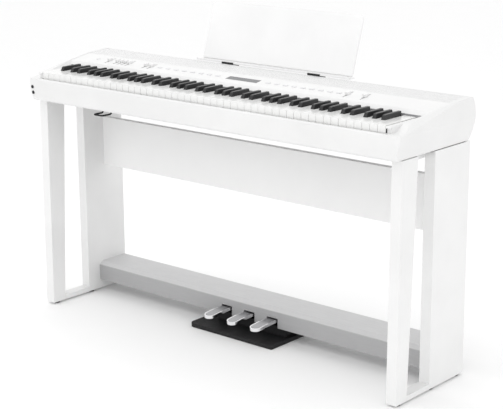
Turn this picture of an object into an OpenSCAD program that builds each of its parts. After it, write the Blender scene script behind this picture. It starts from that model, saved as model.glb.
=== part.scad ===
// Digital piano on a stand, with a pedal unit and a music rest.
// The origin lies on the floor under the middle pedal. +X runs right along the keys, +Y to the back, +Z up.

/* [Piano body] */
// Width over the end caps at the rim
body_w = 1323; // [1321:1:1327]
// Distance of the front rim in front of the origin
rim_out = 216; // [215:1:218]
// Height of the underside of the body above the floor
under_z = 636; // [620:1:650]
// Height of the front rim above the underside
rim_h = 67; // [66:1:69]
// Height of the rear top edge above the underside
crown_h = 118; // [117:1:119]
// Radius of the bulged back, seen from the end
back_r = 115; // [112:1:120]
// Radius of the upright front corners, seen from above
corner_r = 18; // [10:1:20]
// Thickness of the sheet that covers the top
panel_t = 3; // [2.5:0.5:3.5]

/* [Keyboard] */
// Distance from one white key to the next
key_pitch = 23.5; // [23.3:0.1:23.6]
// Gap between neighbouring keys
key_gap = 1; // [0.8:0.1:1.2]
// Length of a white key in front of the felt
key_len = 130; // [129:0.5:131]
// Length of the wide front part of a white key
head_len = 49; // [47:1:51]
// Height of a white key's top above the underside of the body
key_h = 86; // [85:1:87]
// Height of a black key above the white ones
sharp_h = 12; // [11:0.5:12.5]
// Distance that the front of a white key travels down
key_dip = 10; // [9:0.5:10]

/* [Stand] */
// Width over the two side frames
stand_w = 1300; // [1290:1:1304]
// Thickness of the side boards
board_t = 31; // [25:1:34]
// Depth of a front leg at its foot
leg_foot_d = 46; // [40:1:55]
// Depth of a front leg at its top
leg_top_d = 68; // [60:1:75]
// Depth of a rear side panel
rear_panel_d = 159; // [150:1:165]
// Height of the modesty panel
modesty_h = 150; // [120:1:160]

/* [Pedal unit] */
// Height of the beam
beam_h = 58; // [56:1:60]
// Depth of the beam
beam_d = 110; // [108:1:112]
// Distance between neighbouring pedals
pedal_pitch = 86; // [80:1:88]
// Width of a pedal at its tip
pedal_w = 36; // [32:1:38]
// Distance that a pedal's tip travels down
pedal_dip = 19; // [10:1:20]

/* [Music rest] */
// Width of the board
rest_w = 542; // [500:1:580]
// Length of the board along its slope
rest_len = 173; // [150:1:200]
// Lean of the board from upright, in degrees
rest_lean = 18; // [14:1:20]

/* [Hidden] */
$fn = 48;

// Colours
white = [0.93, 0.93, 0.92];
beam_grey = [0.68, 0.68, 0.69];
steel = [0.72, 0.73, 0.75];
dark = [0.12, 0.12, 0.13];
board_green = [0.1, 0.35, 0.2];

// Clearances
fit = 0.3;     // between fixed neighbours on different bodies
run_fit = 0.05; // between a shaft and the bore that turns on it

// Body outline, seen from the end
half_w = body_w / 2;
rim_y = -rim_out;
rim_z = under_z + rim_h;
crown_z = under_z + crown_h;
draft = 9.5;         // how far the front and end faces lean in towards the underside
edge_r = 10;         // radius of the lower edges
back_mid_z = under_z + 59;
back_y = 125;        // furthest point of the bulged back
back_cy = back_y - back_r;
panel_y = -55;       // front edge of the control panel
panel_z = rim_z + 33;
bevel = 10;          // depth and height of the panel's slanted front
break_y = 20;        // where the control panel meets the flatter grille
break_z = rim_z + 45;
crown_y = 101;       // rear edge of the speaker grille
lip = 1;             // how far the end caps stand above the panel
slope = (break_z - panel_z) / (break_y - panel_y);
tilt = atan(slope);
grille_tilt = atan((crown_z - lip - break_z) / (crown_y - break_y));
grille_len = (crown_y - break_y) / cos(grille_tilt);
cheek_x = 647;       // inner face of the end caps beside the panel
strip_x = 628;       // outer edge of the strip beside the last key
strip_spread = 6;    // how much wider the strip is at the panel
strip_z = rim_z + 17.5;
wall_y = -158;       // where the end cap's inner slope starts to rise from the strip
opening_x = 613.4;   // half-width of the key opening
wall = 4;            // wall of the end caps
bottom_t = 5;
bed_z = under_z + bottom_t;

// Keyboard
white_count = 52;
key_count = 88;
keys_x = -white_count * key_pitch / 2;
key_z = under_z + key_h;
felt_y = panel_y - bevel - 0.5;
key_end = felt_y - 4;
key_y = key_end - key_len;
sharp_y = key_y + head_len + 1;
sharp_end = key_end - 8.5;
key_t = 9;
pivot_y = 25;
pivot_z = key_z - 16;
pivot_r = 3;
tail_end = pivot_y + 8;
contact_y = -115;
contact_z = key_z - key_t - key_dip * (pivot_y - contact_y) / (pivot_y - key_y) - 0.5;
semitone_white = [0, 0, 1, 1, 2, 3, 3, 4, 4, 5, 5, 6];
semitone_black = [0, 1, 0, 1, 0, 0, 1, 0, 1, 0, 1, 0];
first_semitone = 9;  // the keyboard starts on an A
middle_c = 39;       // number of keys below middle C

// Stand
foot_h = 6;
bar_h = 14;
rail_w = 20;         // width of the steel angles under the body
rail_t = 3;
side_out = stand_w / 2;
side_in = side_out - board_t;
leg_y = -187;
rear_y = -39;
rear_end = rear_y + rear_panel_d;
modesty_t = 18;
modesty_y = rear_y + 81;
modesty_z = 401;
bracket = 40;
bracket_t = 3;
screw_r = 2;
rail_screw_r = 3;
rail_screw_x = side_in - 13;
rail_screw_y = [-100, 50];
rail_side_y = [-145, 90];
rail_side_z = under_z - 12;
bracket_z = [modesty_z + 25, modesty_z + modesty_h - 65];

// Pedal unit
beam_z = 35.5;
beam_y = 7.5;
beam_end = beam_y + beam_d;
beam_top = beam_z + beam_h;
beam_wall = 8;
chamfer_d = 15;
chamfer_h = 11;
plate_t = 12;
plate_x = [-169, 143];
plate_y = -65;
plate_d = 170;
housing_w = 256;
housing_t = 3;
axle_y = 84;
axle_z = 54;
axle_r = 4;
pedal_top = 60.5;
pedal_tip = -81;
pedal_t = 8.5;
slot_w = 40;
slot_top = 63.5;
spring_y = 45;
spring_r = 6;
wire_r = 1.1;
spring_turns = 5;

// Music rest
rest_t = 5;
shelf_y = 102;
shelf_z = crown_z + 0.8;
rest_y = 126;
shelf_t = 3;
holder_w = 42;
holder_x = 157;
holder_t = 2.5;
holder_screw_z = back_mid_z + 10;

// Controls, as places along the keys
slider_travel = 18;
slot_len = 2 * slider_travel + 10;
slot_v = 16;
tone_slider_x = [-484, -467.5, -451, -434.5];
level_slider_x = [-366, -345, 362, 418];
volume_x = -518;
tone_button_x = [for (i = [0 : 7]) -312 + 32 * i];
menu_button_x = [for (i = [0 : 8]) 94 + 30 * i];
power_x = -568;
button_v = 38;
display_x = -52;
display_w = 113;
display_v = 26.5;
display_d = 24;
board_z = -12;       // panel board below the panel's top face

// Sockets
jack_r = 3.2;
jack_body_r = 5;
jack_x = -645;
jack_z = [under_z + 41, under_z + 24];
rear_jack_z = under_z + 30;
line_jack_x = [-150, -122];
dc_x = -232;
dc_r = 2.8;
pedal_jack_x = -192;
pedal_jack_r = 6.6;

// ---------- Helpers ----------

// A shape drawn as [y, z], run along X from x0 over a length
module along_x(x0, len) {
    translate([x0, 0, 0]) rotate([90, 0, 90]) linear_extrude(len) children();
}

// A shape drawn as [x, z], run along Y from y0 over a length
module along_y(y0, len) {
    translate([0, y0 + len, 0]) rotate([90, 0, 0]) linear_extrude(len) children();
}

// A rod along X
module rod_x(x0, len, y, z, r) {
    translate([x0, y, z]) rotate([0, 90, 0]) cylinder(h = len, r = r);
}

// A rod along Y
module rod_y(y0, len, x, z, r) {
    translate([x, y0, z]) rotate([-90, 0, 0]) cylinder(h = len, r = r);
}

// The given side and its mirror image
module both_sides() {
    children();
    mirror([1, 0, 0]) children();
}

// Places children on the sloping top, v mm up the slope from the panel's front edge
module on_panel(x, v) {
    translate([x, panel_y, panel_z]) rotate([tilt, 0, 0]) translate([0, v, 0]) children();
}

// Places children on the grille, v mm up its slope
module on_grille(x, v) {
    translate([x, break_y, break_z]) rotate([grille_tilt, 0, 0]) translate([0, v, 0]) children();
}

// A box on the sloping top, centred on its place, from low to high off the surface
module panel_box(w, d, low, high) {
    translate([-w / 2, -d / 2, low]) cube([w, d, high - low]);
}

function arc(cx, cy, r, a0, a1, n) =
    [for (i = [0 : n]) let (a = a0 + (a1 - a0) * i / n) [cx + r * cos(a), cy + r * sin(a)]];

// ---------- Body outline ----------

// Depth of the front face at a height
function front_y(z) = rim_y + draft * max(0, rim_z - 3 - z) / (rim_z - 3 - under_z);

// Depth of the bulged back at a height
function bulge_y(z) = back_cy + sqrt(back_r * back_r - pow(z - back_mid_z, 2));

// Lower front edge, from the underside round to the front face
lower_front = arc(front_y(under_z + edge_r) + edge_r, under_z + edge_r, edge_r, 270, 180, 6);

// Rising edge of the end caps: level at the rim, then in line with the panel
rise_y = rim_y + 18;
rise_run = 58;
rise = panel_z + lip - slope * (panel_y - rise_y - rise_run) - rim_z;
function rise_z(t) =
    rim_z + rise * (3 * t * t - 2 * t * t * t) + slope * rise_run * (t * t * t - t * t);
rising = [for (i = [0 : 12]) [rise_y + rise_run * i / 12, rise_z(i / 12)]];

back_low = asin((under_z + 2 - back_mid_z) / back_r);
back_high = asin((crown_z - 3 - back_mid_z) / back_r);
bulge = arc(back_cy, back_mid_z, back_r, back_high, back_low, 10);

module end_outline() {
    polygon(concat(lower_front, [[rim_y, rim_z - 3], [rim_y, rim_z]], rising,
        [[break_y, break_z + lip], [crown_y, crown_z]], bulge,
        [[bulge_y(under_z) - 3, under_z]]));
}

// ---------- Piano body ----------

// A thick slab whose underside follows the end cap's inner slope, from low to high off it
module inner_slope(low, high) {
    run = panel_y - wall_y;
    across = (panel_z + lip - strip_z) / (cheek_x + 1 - strip_x - strip_spread);
    lean = across * strip_spread / run;
    along = atan(lean * cos(atan(across)));
    translate([strip_x, wall_y, strip_z]) rotate([-along, -atan(across), 0])
        translate([-80, -80, low]) cube([160, 240, high - low]);
}

// The slanted cut along the upper outer edge, fading out towards the rear
module outer_slope() {
    across = 0.75;
    rise = 0.207;
    along = atan(rise * cos(atan(across)));
    translate([half_w, -113, rim_z + 14.4]) rotate([along, atan(across), 0])
        translate([-60, -130, 0]) cube([120, 320, 30]);
}

// The block outside the keys, rounded at its upright front corner and its lower outer edge
module end_cap_shape(x) {
    over = 0.1;
    intersection() {
        along_x(x, half_w + 2 - x) end_outline();
        along_y(rim_y - 5, back_y - rim_y + 10) polygon(concat(
            [[x - 5, crown_z + 5], [x - 5, under_z - 5],
            [half_w - draft - edge_r, under_z - 5]],
            arc(half_w - draft - edge_r, under_z + edge_r - over, edge_r, 270, 360, 6),
            [[half_w, rim_z - 3], [half_w, crown_z + 5]]));
        translate([0, 0, under_z - 5]) linear_extrude(crown_h + 10) polygon(concat(
            [[x - 5, back_y + 5], [x - 5, rim_y - over]],
            arc(half_w - corner_r + over, rim_y + corner_r - over, corner_r, 270, 360, 8),
            [[half_w + over, back_y + 5]]));
    }
}

// The strip between the end cap and the last key, with an open notch under its front
module cheek() {
    notch_y = key_y + 4;
    end_y = panel_y - 0.4;
    along_x(opening_x, strip_x - opening_x) polygon(concat(lower_front,
        [[rim_y, rim_z - 3], [rim_y, rim_z], [notch_y, rim_z], [notch_y, strip_z - 4.5],
        [key_y - 3, strip_z - 4.5], [key_y - 3, strip_z - 1], [key_y - 2, strip_z],
        [end_y, strip_z], [end_y, under_z]]));
    translate([0, 0, rim_z - 3]) linear_extrude(strip_z - rim_z + 3) polygon([
        [strip_x - 1, wall_y], [strip_x, wall_y], [strip_x + strip_spread, end_y],
        [strip_x - 1, end_y]]);
}

// The right end cap: a slab beside the panel, and in front of it a hollow block with the strip
module end_cap_solid() {
    inner_x = opening_x + wall;
    outer_x = half_w - draft - wall;
    difference() {
        union() {
            difference() {
                union() {
                    end_cap_shape(cheek_x);
                    difference() {
                        end_cap_shape(strip_x);
                        translate([strip_x - 6, panel_y - 0.4, under_z - 6])
                            cube([cheek_x - strip_x + 6, 200, crown_h + 12]);
                        inner_slope(0, 50);
                    }
                }
                outer_slope();
            }
            cheek();
        }
        translate([inner_x, rim_y + 26, under_z + wall])
            cube([outer_x - inner_x, panel_y - rim_y - 38, rim_h - 2 * wall]);
    }
}

module left_end_cap() {
    color(white) difference() {
        mirror([1, 0, 0]) end_cap_solid();
        for (z = jack_z) rod_y(rim_y - 1, 40, jack_x, z, jack_body_r + run_fit);
    }
}

module right_end_cap() {
    color(white) end_cap_solid();
}

module front_rail() {
    color(white) along_x(-opening_x, 2 * opening_x) polygon(concat(lower_front,
        [[rim_y, rim_z - 3], [rim_y + 2, rim_z], [rim_y + 10, rim_z], [rim_y + 12, rim_z - 2],
        [rim_y + 12, bed_z], [rim_y + 26, bed_z], [rim_y + 26, under_z]]));
}

module bottom_board() {
    color(dark) difference() {
        union() {
            translate([-opening_x, rim_y + 26, under_z])
                cube([2 * opening_x, bulge_y(under_z) - 7 - rim_y - 26, bottom_t]);
            translate([-cheek_x, panel_y, under_z])
                cube([2 * cheek_x, bulge_y(under_z) - 7 - panel_y, bottom_t]);
        }
        for (x = [-510 : 160 : 450], y = [60 : 12 : 84])
            translate([x, y, under_z - 1]) cube([60, 4, bottom_t + 2]);
        for (s = [-1, 1], y = rail_screw_y) translate([s * rail_screw_x, y, under_z - 1])
            cylinder(h = bottom_t + 2, r = rail_screw_r + run_fit);
    }
}

module back_cover() {
    t = 3;
    color(white) difference() {
        along_x(-cheek_x, 2 * cheek_x) polygon(concat(
            [[crown_y + 0.2, crown_z - lip]], bulge, [[bulge_y(under_z) - 3, under_z],
            [bulge_y(under_z) - 3 - t, under_z]],
            arc(back_cy, back_mid_z, back_r - t, back_low, back_high, 10),
            [[crown_y + 0.2, crown_z - lip - t - 2]]));
        for (x = line_jack_x) rod_y(back_y - 30, 40, x, rear_jack_z, jack_body_r + run_fit);
        rod_y(back_y - 30, 40, dc_x, rear_jack_z, jack_body_r + run_fit);
        rod_y(back_y - 30, 40, pedal_jack_x, rear_jack_z, 10 + run_fit);
        translate([-92, back_y - 30, rear_jack_z - 6]) cube([13, 40, 12]);
        for (x = [-holder_x, holder_x])
            rod_y(back_y - 30, 40, x, holder_screw_z, 2.5 + run_fit);
    }
}

module control_panel() {
    sheet = panel_t * sqrt(2);
    color(white) difference() {
        along_x(-cheek_x + 0.2, 2 * cheek_x - 0.4) polygon([
            [panel_y - bevel, panel_z - bevel], [panel_y - bevel + sheet, panel_z - bevel],
            [panel_y + sheet - panel_t, panel_z - panel_t], [break_y, break_z - panel_t],
            [break_y, break_z], [panel_y, panel_z]]);
        both_sides() intersection() {
            inner_slope(-50, fit);
            translate([strip_x, panel_y - bevel - 1, panel_z - bevel - 1])
                cube([cheek_x + 1 - strip_x, bevel + 1, bevel + 4]);
        }
        for (x = concat([volume_x], tone_slider_x, level_slider_x))
            on_panel(x, slot_v + slot_len / 2) panel_box(4, slot_len, -10, 2);
        for (x = concat(tone_button_x, menu_button_x))
            on_panel(x, button_v) panel_box(14 + 2 * fit, 7 + 2 * fit, -10, 2);
        on_panel(power_x, button_v) translate([0, 0, -10]) cylinder(h = 12, r = 6 + fit);
        on_panel(display_x + display_w / 2, display_v + display_d / 2)
            panel_box(display_w + 0.2, display_d + 0.2, -10, 2);
    }
}

module speaker_grille() {
    color([0.8, 0.8, 0.8]) on_grille(0, grille_len / 2 - 0.3)
        panel_box(2 * cheek_x - 0.4, grille_len - 1, -panel_t, 0);
}

// The name-board felt behind the keys, and the strip that the key fronts land on
module key_felt() {
    color([0.55, 0.55, 0.56]) {
        translate([-opening_x, felt_y, key_z - 7.5])
            cube([2 * opening_x, 4, panel_z - bevel - 0.1 - key_z + 7.5]);
        both_sides() translate([opening_x, felt_y, strip_z + 0.1])
            cube([strip_x - opening_x, 4, panel_z - bevel - 0.2 - strip_z]);
        translate([-opening_x, key_y - 2, key_z - 39]) cube([2 * opening_x, 8, 6.5]);
    }
}

module key_bed() {
    hat = contact_z - 14;
    tab = 1.8;
    color(steel) difference() {
        union() {
            translate([-opening_x, key_y - 2, bed_z]) cube([2 * opening_x, 240, 2]);
            translate([-opening_x, key_y - 1, bed_z]) cube([2 * opening_x, 2, key_z - 39 - bed_z]);
            translate([-opening_x, key_y - 2, key_z - 41]) cube([2 * opening_x, 8, 2]);
            for (y = [contact_y - 18, contact_y + 16])
                translate([-opening_x, y, bed_z]) cube([2 * opening_x, 2, hat - bed_z]);
            translate([-opening_x, contact_y - 18, hat - 2]) cube([2 * opening_x, 36, 2]);
            translate([-opening_x, tail_end + 3, bed_z]) cube([2 * opening_x, 2, 60]);
            for (x = [-opening_x, opening_x - tab])
                translate([x, pivot_y - 8, bed_z]) cube([tab, 21, pivot_z + 8 - bed_z]);
        }
        rod_x(-opening_x - 1, 2 * opening_x + 2, pivot_y, pivot_z, pivot_r + run_fit);
    }
}

module key_pivot_rod() {
    color(steel) rod_x(-opening_x, 2 * opening_x, pivot_y, pivot_z, pivot_r);
}

// A circuit board with one rubber dome under each key
module contact_strip() {
    color(dark) {
        translate([-opening_x + 2, contact_y - 16, contact_z - 14])
            cube([2 * opening_x - 4, 32, 1.6]);
        for (k = [0 : key_count - 1])
            translate([(key_low(k) + key_high(k)) / 2, contact_y, contact_z - 12.4])
                cylinder(h = 12.4, r = 4);
    }
}

module circuit_boards() {
    color(board_green) {
        for (place = [[-250, 230], [60, 130]]) {
            translate([place[0], 46, bed_z + 6]) cube([place[1], 60, 1.6]);
            for (x = [place[0] + 8, place[0] + place[1] - 8], y = [54, 98])
                translate([x, y, bed_z]) cylinder(h = 6, r = 3);
            for (i = [0 : 2])
                translate([place[0] + 20 + 34 * i, 62, bed_z + 7]) cube([18, 18, 4 + 5 * i]);
        }
        on_panel(-75, 39) panel_box(1020, 60, board_z, board_z + 1.6);
        for (x = concat(tone_button_x, menu_button_x, [power_x]))
            on_panel(x, button_v) panel_box(6, 6, board_z + 1, board_z + 2.4);
        for (x = concat([volume_x], tone_slider_x, level_slider_x))
            on_panel(x, slot_v + slot_len / 2) panel_box(8, slot_len + 10, board_z + 1, -8.2);
    }
}

// Two long oval loudspeakers under the ends of the grille
module speakers() {
    color(dark) for (x = [-430, 430]) on_grille(x, 42) {
        for (i = [-1, 1]) translate([i * 45, 0, -7]) cylinder(h = 3.8, r = 26);
        translate([-45, -26, -7]) cube([90, 52, 3.8]);
        for (i = [-1, 1]) translate([i * 45, 0, -22]) cylinder(h = 16, r = 20);
        translate([-45, -20, -22]) cube([90, 40, 16]);
        translate([0, 0, -40]) cylinder(h = 19, r = 19);
    }
}

// ---------- Keys ----------

// Semitone of a key in its octave, counted from C, and the left edge of its octave
function semitone(k) = (k + first_semitone) % 12;
function octave_x(k) = keys_x + (floor((k + first_semitone) / 12) * 7 - 5) * key_pitch;
function is_black(k) = semitone_black[semitone(k)] == 1;

// Each octave has two groups of equal slots at the back of the keys: C to E and F to B
function group_x(k) = octave_x(k) + (semitone(k) < 5 ? 0 : 3 * key_pitch);
function slot(k) = semitone(k) < 5 ? 3 * key_pitch / 5 : 4 * key_pitch / 7;
function slot_x(k) = group_x(k) + slot(k) * (semitone(k) < 5 ? semitone(k) : semitone(k) - 5);
function head_x(k) = octave_x(k) + semitone_white[semitone(k)] * key_pitch;

// Left and right edge of the narrow part of a key
function key_low(k) = (k == 0 ? head_x(k) : slot_x(k)) + key_gap / 2;
function key_high(k) =
    (k == key_count - 1 ? head_x(k) + key_pitch : slot_x(k) + slot(k)) - key_gap / 2;

// The lever under the panel with its bore, the same for white and black keys
module key_tail(k) {
    difference() {
        translate([key_low(k), key_end - 1, pivot_z - 6])
            cube([key_high(k) - key_low(k), tail_end - key_end + 1, 12]);
        translate([key_low(k) - 1, key_end - 2, pivot_z - 7])
            cube([slot(k) + 20, pivot_y - 8 - key_end + 2, 6]);
        rod_x(key_low(k) - 1, slot(k) + 22, pivot_y, pivot_z, pivot_r + run_fit);
    }
}

module white_key(k) {
    low = head_x(k) + key_gap / 2;
    high = head_x(k) + key_pitch - key_gap / 2;
    key_tail(k);
    translate([0, 0, key_z - key_t]) linear_extrude(key_t) polygon([
        [low, key_y], [high, key_y], [high, sharp_y - 2], [key_high(k), sharp_y - 2],
        [key_high(k), key_end], [key_low(k), key_end], [key_low(k), sharp_y - 2],
        [low, sharp_y - 2]]);
    translate([low, key_y, key_z - 22]) cube([high - low, 3, 22]);
    translate([key_low(k), key_end - 9, pivot_z])
        cube([key_high(k) - key_low(k), 9, key_z - 8 - pivot_z]);
}

module black_key(k) {
    low = key_low(k) + 0.4;
    high = key_high(k) - 0.4;
    top = key_z + sharp_h;
    key_tail(k);
    intersection() {
        along_y(sharp_y, key_end - sharp_y) polygon([
            [low, key_z - key_t], [high, key_z - key_t], [high, key_z - 1],
            [high - 1.3, top - 1.2], [high - 2.2, top], [low + 2.2, top], [low + 1.3, top - 1.2],
            [low, key_z - 1]]);
        along_x(low - 1, high - low + 2) polygon([
            [sharp_y, key_z - key_t], [sharp_y, key_z], [sharp_y + 4.5, top - 2.2],
            [sharp_y + 7, top - 0.5], [sharp_y + 10, top], [sharp_end, top],
            [sharp_end, key_z - 1], [key_end + 1, key_z - 1], [key_end + 1, key_z - key_t]]);
    }
    translate([low, key_end - 9, pivot_z]) cube([high - low, 9, key_z - 8 - pivot_z]);
}

module key(k) {
    if (is_black(k)) {
        color(dark) black_key(k);
    } else {
        color(white) white_key(k);
    }
}

module other_keys(black) {
    for (k = [0 : key_count - 1])
        if (is_black(k) == black && (k < middle_c || k >= middle_c + 12)) key(k);
}

// ---------- Controls ----------

module slider(x) {
    color([0.86, 0.86, 0.86]) on_panel(x, slot_v + slot_len / 2) {
        panel_box(2.6, 7, -8, 1);
        difference() {
            panel_box(9, 14, 0.6, 8);
            rotate([0, 90, 0]) translate([-14, 0, -6]) cylinder(h = 12, r = 7);
        }
    }
}

module button(x) {
    color([0.88, 0.88, 0.88]) on_panel(x, button_v) {
        panel_box(14, 7, -2.5, 1.6);
        panel_box(4, 4, -7.5, -2);
    }
}

module power_button() {
    color([0.8, 0.8, 0.8]) on_panel(power_x, button_v) {
        translate([0, 0, -2.5]) cylinder(h = 4.1, r = 6);
        translate([0, 0, -7.5]) cylinder(h = 6, r = 2);
    }
}

module display() {
    color([0.05, 0.06, 0.08]) on_panel(display_x + display_w / 2, display_v + display_d / 2) {
        panel_box(display_w, display_d, -2, -0.2);
        panel_box(display_w - 6, display_d - 4, -8, -1);
    }
}

// ---------- Sockets and hook ----------

// A round socket with a true bore, its mouth at y and its body behind it
module socket(y, dir, len, x, z, r_out, r_in, depth) {
    translate([x, y, z]) rotate([dir > 0 ? -90 : 90, 0, 0]) difference() {
        translate([0, 0, -len]) cylinder(h = len, r = r_out);
        translate([0, 0, -depth]) cylinder(h = depth + 1, r = r_in);
    }
}

module phones_jacks() {
    color(dark) for (z = jack_z)
        socket(front_y(z) - 1.5, -1, 30, jack_x, z, jack_body_r, jack_r, 24);
}

module rear_jacks() {
    mouth = bulge_y(rear_jack_z) + 1.5;
    color(dark) {
        for (x = line_jack_x) socket(mouth, 1, 30, x, rear_jack_z, jack_body_r, jack_r, 24);
        socket(mouth, 1, 22, dc_x, rear_jack_z, jack_body_r, dc_r, 12);
        socket(mouth, 1, 22, pedal_jack_x, rear_jack_z, 10, pedal_jack_r, 10);
        difference() {
            translate([-91.8, mouth - 18, rear_jack_z - 5.8]) cube([12.6, 18, 11.6]);
            translate([-90, mouth - 12, rear_jack_z - 4]) cube([9, 13, 8]);
        }
    }
}

// A quarter of a ring, starting at the end of a rod that runs along -Y
module bend(radius, wire) {
    translate([radius, 0, 0]) rotate([0, 0, 180]) rotate_extrude(angle = 90)
        translate([radius, 0]) circle(wire);
}

// A bent rod under the left front of the body, its two ends turned up into a plate
module headphone_hook() {
    wire = 2.5;
    turn = 6;
    reach = 24;
    width = 34;
    drop = 6;
    translate([-392, -156, under_z - 4 - drop - turn]) color(dark) {
        for (s = [0, 1]) mirror([s, 0, 0]) translate([-width / 2, 0, 0]) {
            translate([0, 0, turn]) cylinder(h = drop, r = wire);
            translate([0, 0, turn]) rotate([90, 0, -90]) bend(turn, wire);
            translate([0, -turn, 0]) rotate([90, 0, 0]) cylinder(h = reach, r = wire);
            translate([0, -turn - reach, 0]) bend(turn, wire);
        }
        translate([turn - width / 2, -2 * turn - reach, 0]) rotate([0, 90, 0])
            cylinder(h = width - 2 * turn, r = wire);
        translate([-width / 2 - 6, -8, turn + drop]) cube([width + 12, 20, 4]);
    }
}

// ---------- Music rest ----------

// A curved-corner board drawn on its own plane, from its lower edge upwards
module rest_face() {
    r = 14;
    polygon(concat([[-rest_w / 2, 0], [rest_w / 2, 0]],
        arc(rest_w / 2 - r, rest_len - r, r, 0, 90, 8),
        arc(r - rest_w / 2, rest_len - r, r, 90, 180, 8)));
}

module music_rest() {
    shelf_w = rest_w + 14;
    color([0.9, 0.9, 0.9]) {
        difference() {
            translate([0, rest_y, shelf_z]) rotate([90 - rest_lean, 0, 0])
                linear_extrude(rest_t) rest_face();
            translate([-rest_w / 2 - 1, rest_y - 10, shelf_z + shelf_t + 0.8])
                cube([rest_w + 2, 8.5, 2.6]);
        }
        translate([-shelf_w / 2, shelf_y, shelf_z]) cube([shelf_w, rest_y - shelf_y, shelf_t]);
        translate([-shelf_w / 2, shelf_y, shelf_z]) cube([shelf_w, 3, 5.6]);
    }
}

// Two bent brackets: a back plate, a seat under the shelf, a front hook and a strut behind the board
module rest_holders() {
    plate_y = back_y + fit;
    strap_t = 1;
    seat_z = shelf_z - strap_t - fit;
    hook_y = shelf_y - 2.5;
    strut = 70;
    color(dark) for (x = [-holder_x, holder_x]) difference() {
        union() {
            along_x(x - holder_w / 2, holder_w) {
                polygon([[hook_y, seat_z], [rest_y + 9, seat_z], [rest_y + 9, seat_z + strap_t],
                    [shelf_y - fit, seat_z + strap_t], [shelf_y - fit, shelf_z + 4],
                    [hook_y, shelf_z + 4]]);
                polygon([[plate_y, holder_screw_z - 18], [plate_y + holder_t, holder_screw_z - 18],
                    [plate_y + holder_t, seat_z + 0.5], [plate_y, seat_z + 0.5]]);
            }
            translate([0, rest_y + 0.3, shelf_z - 1]) rotate([-rest_lean, 0, 0])
                translate([x - 8, 1, 0]) cube([16, 3, strut]);
        }
        rod_y(plate_y - 1, holder_t + 2, x, holder_screw_z, 2.5 + run_fit);
    }
}

module rest_screws() {
    color(dark) for (x = [-holder_x, holder_x]) {
        rod_y(back_y - 16, 19, x, holder_screw_z, 2.5);
        rod_y(back_y + holder_t + fit, 9, x, holder_screw_z, 9);
    }
}

// ---------- Stand ----------

module front_leg() {
    color(white) difference() {
        along_x(side_in, board_t) polygon([[leg_y, foot_h], [leg_y + leg_foot_d, foot_h],
            [leg_y + 5 + leg_top_d, under_z], [leg_y + 5, under_z]]);
        rod_x(side_in - 1, 15, rail_side_y[0], rail_side_z, screw_r + run_fit);
    }
}

module rear_panel() {
    color(white) difference() {
        translate([side_in, rear_y, foot_h]) cube([board_t, rear_panel_d, under_z - foot_h]);
        for (z = bracket_z, dz = [12, 28])
            rod_x(side_in - 1, 15, modesty_y + modesty_t + 28, z + dz, screw_r + run_fit);
        rod_x(side_in - 1, 15, rail_side_y[1], rail_side_z, screw_r + run_fit);
    }
}

module floor_bars() {
    start = leg_y + leg_foot_d + 0.7;
    color(white) both_sides()
        translate([side_in, start, foot_h]) cube([board_t, rear_y - start, bar_h]);
}

// A steel angle inside the top of each side frame, screwed to it and up into the piano
module top_rails() {
    start = leg_y + 17;
    len = rear_end - leg_y - 34;
    color(white) both_sides() difference() {
        along_y(start, len) polygon([[side_in, under_z], [side_in - rail_w, under_z],
            [side_in - rail_w, under_z - rail_t], [side_in - rail_t, under_z - rail_t],
            [side_in - rail_t, under_z - rail_w], [side_in, under_z - rail_w]]);
        for (y = rail_screw_y) translate([rail_screw_x, y, under_z - rail_t - 1])
            cylinder(h = rail_t + 2, r = rail_screw_r + run_fit);
        for (y = rail_side_y)
            rod_x(side_in - rail_t - 1, rail_t + 2, y, rail_side_z, screw_r + run_fit);
    }
}

module modesty_panel() {
    color(white) difference() {
        translate([-side_in, modesty_y, modesty_z]) cube([2 * side_in, modesty_t, modesty_h]);
        for (s = [-1, 1], z = bracket_z, dz = [12, 28])
            rod_y(modesty_y + 5, modesty_t, s * (side_in - 28), z + dz, screw_r + run_fit);
    }
}

// Four angle brackets behind the modesty panel
module stand_brackets() {
    y = modesty_y + modesty_t;
    color(steel) both_sides() for (z = bracket_z) difference() {
        translate([0, 0, z]) linear_extrude(bracket) polygon([
            [side_in, y], [side_in, y + bracket], [side_in - bracket_t, y + bracket],
            [side_in - bracket_t, y + bracket_t], [side_in - bracket, y + bracket_t],
            [side_in - bracket, y]]);
        for (dz = [12, 28]) {
            rod_x(side_in - 5, 10, y + 28, z + dz, screw_r + run_fit);
            rod_y(y - 1, 10, side_in - 28, z + dz, screw_r + run_fit);
        }
    }
}

module stand_screws() {
    y = modesty_y + modesty_t;
    color(steel) both_sides() {
        for (z = bracket_z, dz = [12, 28]) {
            rod_x(side_in - bracket_t, 14, y + 28, z + dz, screw_r);
            rod_x(side_in - bracket_t - 2, 2, y + 28, z + dz, 4);
            rod_y(y - 11, 14, side_in - 28, z + dz, screw_r);
            rod_y(y + bracket_t, 2, side_in - 28, z + dz, 4);
        }
        for (sy = rail_screw_y) translate([rail_screw_x, sy, under_z - rail_t - 3]) {
            cylinder(h = rail_t + bottom_t + 2.5, r = rail_screw_r);
            cylinder(h = 3, r = 5.5);
        }
        for (sy = rail_side_y) {
            rod_x(side_in - rail_t, 14, sy, rail_side_z, screw_r);
            rod_x(side_in - rail_t - 2, 2, sy, rail_side_z, 4);
        }
    }
}

module stand_feet() {
    color(dark) both_sides() for (y = [leg_y + leg_foot_d / 2, rear_y + 18, rear_end - 18])
        translate([side_in + board_t / 2, y, 0]) cylinder(h = foot_h, r = 11);
}

// ---------- Pedal unit ----------

module beam_outline(inset) {
    polygon([[beam_y + inset, beam_z + inset], [beam_end - inset, beam_z + inset],
        [beam_end - inset, beam_top - inset], [beam_y + chamfer_d + inset / 3, beam_top - inset],
        [beam_y + inset, beam_top - chamfer_h - inset / 3]]);
}

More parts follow.
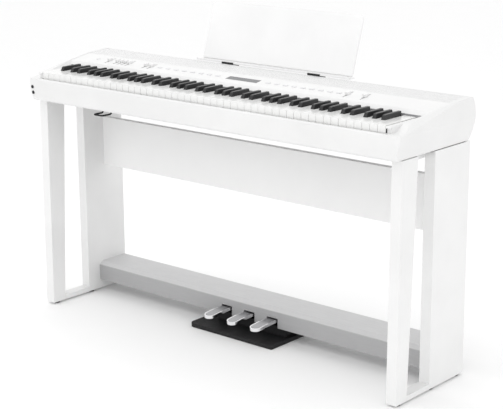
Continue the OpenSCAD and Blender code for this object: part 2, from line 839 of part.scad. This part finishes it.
module pedal_beam() {
    color(beam_grey) difference() {
        along_x(-side_in, 2 * side_in) beam_outline(0);
        along_x(-side_in + 12, 2 * side_in - 24) beam_outline(beam_wall);
        translate([-housing_w / 2 - 2, beam_y + beam_wall, beam_z - 1])
            cube([housing_w + 4, beam_d - 2 * beam_wall, beam_wall + 2]);
        for (i = [-1 : 1]) translate([i * pedal_pitch - slot_w / 2, beam_y - 1, beam_z - 1])
            cube([slot_w, beam_wall + 2, slot_top - beam_z + 1]);
    }
}

// An open steel box that carries the axle, standing on the base plate
module pedal_housing() {
    back = beam_end - beam_wall - 0.5;
    front = beam_y + beam_wall + 0.5;
    top = beam_top - beam_wall - 0.5;
    press = pedal_dip * (axle_y - front) / (axle_y - pedal_tip);
    front_h = pedal_top - pedal_t - press - 5 - plate_t;
    color(dark) difference() {
        union() {
            for (x = [-housing_w / 2, housing_w / 2 - housing_t])
                along_x(x, housing_t) polygon([[front, plate_t], [back, plate_t], [back, top],
                    [front + 22, top], [front, top - 18]]);
            translate([-housing_w / 2, front, plate_t]) cube([housing_w, housing_t, front_h]);
            translate([-housing_w / 2, back - housing_t, plate_t])
                cube([housing_w, housing_t, top - plate_t]);
        }
        rod_x(-housing_w / 2 - 1, housing_w + 2, axle_y, axle_z, axle_r + run_fit);
    }
}

module pedal_base_plate() {
    r = 16;
    small_r = 4;
    color(dark) linear_extrude(plate_t) polygon(concat(
        arc(plate_x[0] + r, plate_y + r, r, 180, 270, 8),
        arc(plate_x[1] - small_r, plate_y + small_r, small_r, 270, 360, 4),
        [[plate_x[1], plate_y + plate_d], [plate_x[0], plate_y + plate_d]]));
}

module pedal_axle() {
    color(steel) rod_x(-housing_w / 2, housing_w, axle_y, axle_z, axle_r);
}

// Height of a pedal's top: level inside the beam, curving down towards the tip
function pedal_height(y) = pedal_top - 6 * pow(max(0, (beam_y - y) / (beam_y - pedal_tip)), 2);

// One pedal with its lever. The tongue is the visible part
module pedal(x) {
    tip_r = pedal_w / 2;
    root = 16.5;
    lever = 9;
    top = [for (i = [0 : 9]) let (y = beam_y - (beam_y - pedal_tip) * i / 9) [y, pedal_height(y)]];
    under = [for (p = top) [p[0], p[1] - pedal_t]];
    low = [for (i = [9 : -1 : 0]) under[i]];
    color(steel) translate([x, 0, 0]) difference() {
        union() {
            intersection() {
                linear_extrude(80) polygon(concat([[root, beam_y + 6], [-root, beam_y + 6]],
                    arc(0, pedal_tip + tip_r, tip_r, 180, 360, 12)));
                along_x(-pedal_w, 2 * pedal_w) polygon(concat([[beam_y + 6, pedal_top]], top, low,
                    [[beam_y + 6, pedal_top - pedal_t]]));
            }
            translate([-lever, beam_y + 4, pedal_top - 8]) cube([2 * lever, 84, 8]);
            rod_x(-lever, 2 * lever, axle_y, axle_z, 9);
        }
        rod_x(-lever - 1, 2 * lever + 2, axle_y, axle_z, axle_r + run_fit);
    }
}

// A compression spring between the base plate and a pedal's lever
module pedal_spring(x) {
    low = plate_t + wire_r + 0.05;
    high = pedal_top - 8 - wire_r - 0.05;
    sides = 6;
    rings = spring_turns * 16;
    points = [for (i = [0 : rings], s = [0 : sides - 1])
        let (a = 360 * spring_turns * i / rings, b = 360 * s / sides, r = spring_r + wire_r * cos(b))
        [r * cos(a), r * sin(a), low + (high - low) * i / rings + wire_r * sin(b)]];
    walls = [for (i = [0 : rings - 1], s = [0 : sides - 1])
        let (n = (s + 1) % sides, p = i * sides)
        [p + s, p + sides + s, p + sides + n, p + n]];
    caps = [[for (s = [0 : sides - 1]) s], [for (s = [sides - 1 : -1 : 0]) rings * sides + s]];
    color(steel) translate([x, spring_y, 0]) polyhedron(points, concat(walls, caps));
}

mirror([1, 0, 0]) front_leg();  // left_front_leg
front_leg();  // right_front_leg
mirror([1, 0, 0]) rear_panel();  // left_rear_panel
rear_panel();  // right_rear_panel
floor_bars();
top_rails();
modesty_panel();
stand_brackets();
stand_screws();
stand_feet();
pedal_beam();
pedal_housing();
pedal_base_plate();
pedal_axle();
pedal(-pedal_pitch);  // soft_pedal
pedal(0);  // sostenuto_pedal
pedal(pedal_pitch);  // damper_pedal
pedal_spring(-pedal_pitch);  // soft_spring
pedal_spring(0);  // sostenuto_spring
pedal_spring(pedal_pitch);  // damper_spring
bottom_board();
front_rail();
left_end_cap();
right_end_cap();
back_cover();
control_panel();
speaker_grille();
key_felt();
key_bed();
key_pivot_rod();
contact_strip();
circuit_boards();
speakers();
music_rest();
rest_holders();
rest_screws();
phones_jacks();
rear_jacks();
headphone_hook();
display();
power_button();
slider(volume_x);  // volume_slider
for (x = tone_slider_x) slider(x);  // tone_sliders
for (x = level_slider_x) slider(x);  // level_sliders
for (x = tone_button_x) button(x);  // tone_buttons
for (x = menu_button_x) button(x);  // menu_buttons
key(middle_c);  // key_c
key(middle_c + 1);  // key_c_sharp
key(middle_c + 2);  // key_d
key(middle_c + 3);  // key_d_sharp
key(middle_c + 4);  // key_e
key(middle_c + 5);  // key_f
key(middle_c + 6);  // key_f_sharp
key(middle_c + 7);  // key_g
key(middle_c + 8);  // key_g_sharp
key(middle_c + 9);  // key_a
key(middle_c + 10);  // key_a_sharp
key(middle_c + 11);  // key_b
other_keys(false);  // white_keys
other_keys(true);  // black_keys
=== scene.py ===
import bpy
import math
from mathutils import Matrix, Vector


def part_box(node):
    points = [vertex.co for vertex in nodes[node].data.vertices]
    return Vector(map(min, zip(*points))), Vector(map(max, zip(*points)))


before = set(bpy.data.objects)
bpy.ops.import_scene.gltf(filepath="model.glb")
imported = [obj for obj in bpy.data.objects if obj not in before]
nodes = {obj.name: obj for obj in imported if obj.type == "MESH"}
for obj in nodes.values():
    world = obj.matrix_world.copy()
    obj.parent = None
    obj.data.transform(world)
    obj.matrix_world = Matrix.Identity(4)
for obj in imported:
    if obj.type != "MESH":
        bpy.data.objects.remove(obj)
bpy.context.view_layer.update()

# ---------------------------------------------------------------- materials


class Graph:
    """A short way to wire one material's nodes."""

    def __init__(self, name, color, roughness, metallic=0.0, **sockets):
        self.mat = bpy.data.materials.new(name)
        self.mat.use_nodes = True
        self.tree = self.mat.node_tree
        self.bsdf = self.tree.nodes["Principled BSDF"]
        self.bsdf.inputs["Base Color"].default_value = (*color, 1)
        self.bsdf.inputs["Roughness"].default_value = roughness
        self.bsdf.inputs["Metallic"].default_value = metallic
        for key, value in sockets.items():
            self.bsdf.inputs[key.replace("_", " ")].default_value = value
        self.mat.diffuse_color = (*color, 1)
        self.coords = self.add("ShaderNodeTexCoord").outputs["Object"]

    def add(self, kind, **props):
        node = self.tree.nodes.new(kind)
        for key, value in props.items():
            setattr(node, key, value)
        return node

    def link(self, a, b):
        self.tree.links.new(a, b)

    def stretched(self, scale):
        m = self.add("ShaderNodeMapping")
        m.inputs["Scale"].default_value = scale
        self.link(self.coords, m.inputs["Vector"])
        return m.outputs["Vector"]

    def noise(self, scale, detail=3.0, stretch=(1, 1, 1), rough=0.5):
        n = self.add("ShaderNodeTexNoise")
        n.inputs["Scale"].default_value = scale
        n.inputs["Detail"].default_value = detail
        n.inputs["Roughness"].default_value = rough
        self.link(self.stretched(stretch), n.inputs["Vector"])
        return n.outputs["Fac"]

    def ramp(self, fac, low, high, a=0.35, b=0.65):
        """Maps fac from a..b to the colours or greys low..high."""
        r = self.add("ShaderNodeValToRGB")
        r.color_ramp.elements[0].position = a
        r.color_ramp.elements[1].position = b
        for e, v in zip(r.color_ramp.elements, (low, high)):
            e.color = (*v, 1) if isinstance(v, tuple) else (v, v, v, 1)
        self.link(fac, r.inputs["Fac"])
        return r.outputs["Color"]

    def math(self, op, a, b=0.0):
        m = self.add("ShaderNodeMath", operation=op)
        for i, v in enumerate((a, b)):
            if isinstance(v, (int, float)):
                m.inputs[i].default_value = v
            else:
                self.link(v, m.inputs[i])
        return m.outputs[0]

    def axis(self, index):
        s = self.add("ShaderNodeSeparateXYZ")
        self.link(self.coords, s.inputs[0])
        return s.outputs[index]

    def color(self, socket):
        self.link(socket, self.bsdf.inputs["Base Color"])

    def roughness(self, socket):
        self.link(socket, self.bsdf.inputs["Roughness"])

    def bump(self, height, distance, strength=1.0):
        b = self.add("ShaderNodeBump")
        b.inputs["Distance"].default_value = distance
        b.inputs["Strength"].default_value = strength
        self.link(height, b.inputs["Height"])
        last = self.bsdf.inputs["Normal"]
        if last.links:
            self.link(last.links[0].from_socket, b.inputs["Normal"])
        self.link(b.outputs["Normal"], last)


def satin(name, color, rough, grain, depth, spread=0.04, **sockets):
    """Painted or moulded surface: a fine grain, with slow changes of tone and gloss."""
    g = Graph(name, color, rough, **sockets)
    darker = tuple(c * (1 - spread) for c in color)
    g.color(g.ramp(g.noise(7, 4), darker, color))
    g.roughness(g.ramp(g.noise(23, 5), rough - 0.05, rough + 0.06))
    g.bump(g.noise(grain, 2), depth, 0.5)
    return g


def metal(name, color, rough, stretch, grain=60, depth=0.00003):
    """Metal with fine lines drawn along one direction."""
    g = Graph(name, color, rough, metallic=1.0)
    lines = g.noise(grain, 6, stretch, 0.7)
    g.roughness(g.ramp(lines, max(0.05, rough - 0.08), rough + 0.08))
    g.bump(lines, depth, 0.4)
    return g


def cloth(name, color):
    g = Graph(name, color, 0.95, Sheen_Weight=0.3)
    fibres = g.noise(900, 4, (1, 1, 1), 0.8)
    g.color(g.ramp(fibres, tuple(c * 0.7 for c in color), tuple(min(1, c * 1.15) for c in color)))
    g.bump(fibres, 0.0004)
    return g


def perforated(name, color):
    """Fine punched sheet: colour and bump draw round dark holes on a grid; the mesh is plain."""
    hole_pitch = 0.0032
    g = Graph(name, color, 0.5)
    waves = 2 * math.pi / hole_pitch
    a = g.math("SINE", g.math("MULTIPLY", g.axis(0), waves))
    b = g.math("SINE", g.math("MULTIPLY", g.axis(1), waves))
    hole = g.math("MULTIPLY", a, b)
    g.color(g.ramp(hole, color, tuple(c * 0.6 for c in color), 0.3, 0.5))
    g.bump(g.ramp(hole, 1.0, 0.0, 0.3, 0.5), 0.0004)
    return g


def beam_film_painted_light(name):
    """Grey film with a faint grain along the beam; its front is painted darker and its chamfer
    and upper face lighter, painted shade and painted light as light from overhead falls.
    """
    chamfer_from, chamfer_to = 0.8, 0.84  # shares of the beam's height
    shaded_front, lit_top = (0.41, 0.41, 0.415), (0.67, 0.67, 0.675)
    g = satin(name, (0.5, 0.5, 0.505), 0.42, 300, 0.0002)
    lo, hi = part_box("pedal_beam")
    height = g.math("MULTIPLY", g.math("SUBTRACT", g.axis(2), lo.z), 1 / (hi.z - lo.z))
    grain = g.noise(140, 5, (0.12, 1, 1), 0.7)
    place = g.math("ADD", height, g.math("MULTIPLY", g.math("SUBTRACT", grain, 0.5), 0.02))
    # Painted shade and light: by height the front gets the dark grey and the chamfer and upper
    # face the light grey.
    tone = g.ramp(place, shaded_front, lit_top, chamfer_from, chamfer_to)
    streaks = g.add("ShaderNodeMixRGB", blend_type="MULTIPLY")
    streaks.inputs["Fac"].default_value = 1.0
    g.link(tone, streaks.inputs["Color1"])
    g.link(g.ramp(grain, 0.95, 1.0), streaks.inputs["Color2"])
    g.color(streaks.outputs["Color"])
    return g


def pedal_plating_rim_highlight(name):
    """Plated pedal: the colour paints a bright band round the edge of a darker brushed tread, a
    painted highlight of a reflecting edge; roughness makes that band polished and the bump sinks
    the tread.

    The three pedals share it, so a place across the keyboard is taken from its own pedal's
    middle. The mesh is plain.
    """
    rim_from, rim_to = 0.74, 0.79  # shares of the pedal's half width
    # Painted highlight: the edge band is coloured much brighter than the tread, as a reflecting
    # edge shows.
    tread, rim_highlight = (0.42, 0.42, 0.43), (0.86, 0.86, 0.87)
    g = metal(name, (0.6, 0.6, 0.61), 0.2, (30, 2, 4))
    lo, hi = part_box("sostenuto_pedal")
    pitch = -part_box("soft_pedal")[0].x + lo.x
    half = (hi.x - lo.x) / 2
    across = g.math("MODULO", g.math("ADD", g.axis(0), 1.5 * pitch), pitch)
    across = g.math("SUBTRACT", across, pitch / 2)
    along = g.math("MINIMUM", g.math("SUBTRACT", g.axis(1), lo.y + half), 0)
    squares = g.math("ADD", g.math("MULTIPLY", across, across), g.math("MULTIPLY", along, along))
    out = g.math("MULTIPLY", g.math("SQRT", squares), 1 / half)
    g.color(g.ramp(out, tread, rim_highlight, rim_from, rim_to))
    g.roughness(g.ramp(out, 0.3, 0.1, rim_from, rim_to))
    g.bump(g.ramp(out, 0.0, 1.0, 0.72, 0.8), 0.0012)
    return g


M = {}
M["film"] = satin("stand_white_film", (0.82, 0.82, 0.818), 0.38, 260, 0.0002)
# The modesty panel wears the stand's white film made lighter (0.93 against 0.82): painted light
# that makes up for the shade it stands in under the body.
M["back_film_painted_light"] = satin("modesty_film_painted_light", (0.93, 0.93, 0.928), 0.42, 260, 0.0002, 0.02)
M["case"] = satin("case_white_plastic", (0.8, 0.8, 0.798), 0.42, 1400, 0.00015)
M["panel"] = satin("panel_white_plastic", (0.82, 0.82, 0.818), 0.36, 1600, 0.00012)
M["rail"] = satin("rail_white_paint", (0.8, 0.8, 0.8), 0.5, 700, 0.0002)
M["beam"] = beam_film_painted_light("beam_grey_film_painted_light")
M["dark_board"] = satin("dark_board", (0.07, 0.065, 0.06), 0.75, 200, 0.0006, 0.35)
M["black_paint"] = satin("black_powder_coat", (0.014, 0.014, 0.015), 0.55, 1300, 0.0004, 0.2,
                         Specular_IOR_Level=0.3)
M["dark_plastic"] = satin("dark_plastic", (0.05, 0.05, 0.055), 0.45, 1500, 0.0002, 0.15)
M["rubber"] = satin("black_rubber", (0.03, 0.03, 0.03), 0.8, 900, 0.0004, 0.2)
M["button"] = satin("button_plastic", (0.76, 0.76, 0.77), 0.4, 2000, 0.00008)
M["knob"] = satin("knob_plastic", (0.86, 0.86, 0.86), 0.4, 2000, 0.0001, 0.06)
M["rest"] = satin("rest_gloss_plastic", (0.86, 0.86, 0.86), 0.16, 60, 0.00005)
M["key_white"] = satin("white_key_gloss", (0.84, 0.84, 0.833), 0.16, 900, 0.00004, 0.02)
M["key_black"] = satin("black_key_satin", (0.018, 0.018, 0.019), 0.34, 1200, 0.00008, 0.2)
M["circuit"] = satin("circuit_board", (0.02, 0.13, 0.06), 0.45, 300, 0.0002, 0.4)
M["grille"] = perforated("grille_mesh", (0.87, 0.87, 0.87))
M["felt"] = cloth("grey_felt", (0.42, 0.42, 0.43))
M["steel"] = metal("zinc_steel", (0.62, 0.63, 0.65), 0.34, (1, 1, 12))
M["pedal"] = pedal_plating_rim_highlight("pedal_plating_rim_highlight")
M["cone"] = satin("speaker_cone", (0.025, 0.025, 0.027), 0.7, 900, 0.0004, 0.3)

screen = Graph("screen_window", (0.02, 0.022, 0.03), 0.12, Coat_Weight=0.6, Coat_Roughness=0.05)
screen.color(screen.ramp(screen.noise(30, 2), (0.016, 0.018, 0.024), (0.026, 0.028, 0.036)))
screen.roughness(screen.ramp(screen.noise(90, 3), 0.08, 0.16))
M["screen"] = screen

WEARS = {
    "film": "left_front_leg right_front_leg left_rear_panel right_rear_panel floor_bars",
    "back_film_painted_light": "modesty_panel",
    "rail": "top_rails",
    "beam": "pedal_beam",
    "steel": "stand_brackets stand_screws pedal_axle soft_spring sostenuto_spring damper_spring"
             " key_bed key_pivot_rod",
    "rubber": "stand_feet contact_strip",
    "black_paint": "pedal_housing pedal_base_plate rest_holders rest_screws headphone_hook",
    "pedal": "soft_pedal sostenuto_pedal damper_pedal",
    "dark_board": "bottom_board",
    "case": "front_rail left_end_cap right_end_cap back_cover",
    "panel": "control_panel",
    "grille": "speaker_grille",
    "felt": "key_felt",
    "circuit": "circuit_boards",
    "cone": "speakers",
    "rest": "music_rest",
    "dark_plastic": "phones_jacks rear_jacks",
    "screen": "display",
    "button": "power_button tone_buttons menu_buttons",
    "knob": "volume_slider tone_sliders level_sliders",
    "key_white": "white_keys key_c key_d key_e key_f key_g key_a key_b",
    "key_black": "black_keys key_c_sharp key_d_sharp key_f_sharp key_g_sharp key_a_sharp",
}
# Widths of the rounded edges, in metres
BEVEL = {
    "film": 0.0012, "back_film_painted_light": 0.0012, "case": 0.0012, "beam": 0.002, "panel": 0.0005,
    "rail": 0.0005, "rest": 0.001,
    "button": 0.0005, "knob": 0.0006, "key_white": 0.0008, "key_black": 0.0007,
    "black_paint": 0.0007, "pedal": 0.0022, "dark_plastic": 0.0003, "grille": 0.0003,
}
SHARP_EDGE = math.radians(32)
for look, names in WEARS.items():
    for name in names.split():
        o = nodes[name]
        o.data.materials.clear()
        o.data.materials.append(M[look].mat)
        if look in BEVEL:
            b = o.modifiers.new("edge", "BEVEL")
            b.width = BEVEL[look]
            b.segments = 2
            b.limit_method = "ANGLE"
            b.angle_limit = SHARP_EDGE
            b.use_clamp_overlap = True

# ---------------------------------------------------------------- stage, light and camera

FLOOR_SIZE = 24
bpy.ops.mesh.primitive_plane_add(size=FLOOR_SIZE, location=(0, 0, 0))
floor = bpy.context.object
floor.name = "floor"
ground = satin("floor_paint", (0.985, 0.985, 0.985), 0.9, 40, 0.0001, 0.005)
floor.data.materials.append(ground.mat)

world = bpy.data.worlds.new("studio")
bpy.context.scene.world = world
world.use_nodes = True
world.node_tree.nodes["Background"].inputs["Color"].default_value = (1, 1, 1, 1)
world.node_tree.nodes["Background"].inputs["Strength"].default_value = 1.0


def area_light(name, place, target, size, power):
    data = bpy.data.lights.new(name, "AREA")
    data.shape = "RECTANGLE"
    data.size, data.size_y = size
    data.energy = power
    lamp = bpy.data.objects.new(name, data)
    bpy.context.scene.collection.objects.link(lamp)
    lamp.location = place
    lamp.rotation_euler = (Vector(target) - Vector(place)).to_track_quat("-Z", "Y").to_euler()


area_light("overhead", (-0.6, -0.6, 3.2), (0, 0, 0.6), (3.0, 2.4), 19)
area_light("front_fill", (0.4, -3.4, 0.6), (0, 0, 0.4), (2.4, 1.0), 7)
area_light("side_fill", (3.4, -1.2, 0.9), (0, 0, 0.5), (1.6, 1.2), 7)

# The camera's lens, place and turn were solved from the object's straight edges
cam_data = bpy.data.cameras.new("camera")
cam_data.sensor_width = 36
cam_data.lens = 102.807
camera = bpy.data.objects.new("camera", cam_data)
bpy.context.scene.collection.objects.link(camera)
yaw, pitch, roll = (math.radians(a) for a in (40.538, -14.832, -0.313))
camera.location = (2.55415, -2.96615, 1.41956)
camera.rotation_mode = "QUATERNION"
turn = (Matrix.Rotation(yaw, 3, "Z") @ Matrix.Rotation(math.pi / 2 + pitch, 3, "X")
        @ Matrix.Rotation(roll, 3, "Z"))
camera.rotation_quaternion = turn.to_quaternion()
bpy.context.scene.camera = camera
bpy.context.scene.view_settings.view_transform = "Standard"
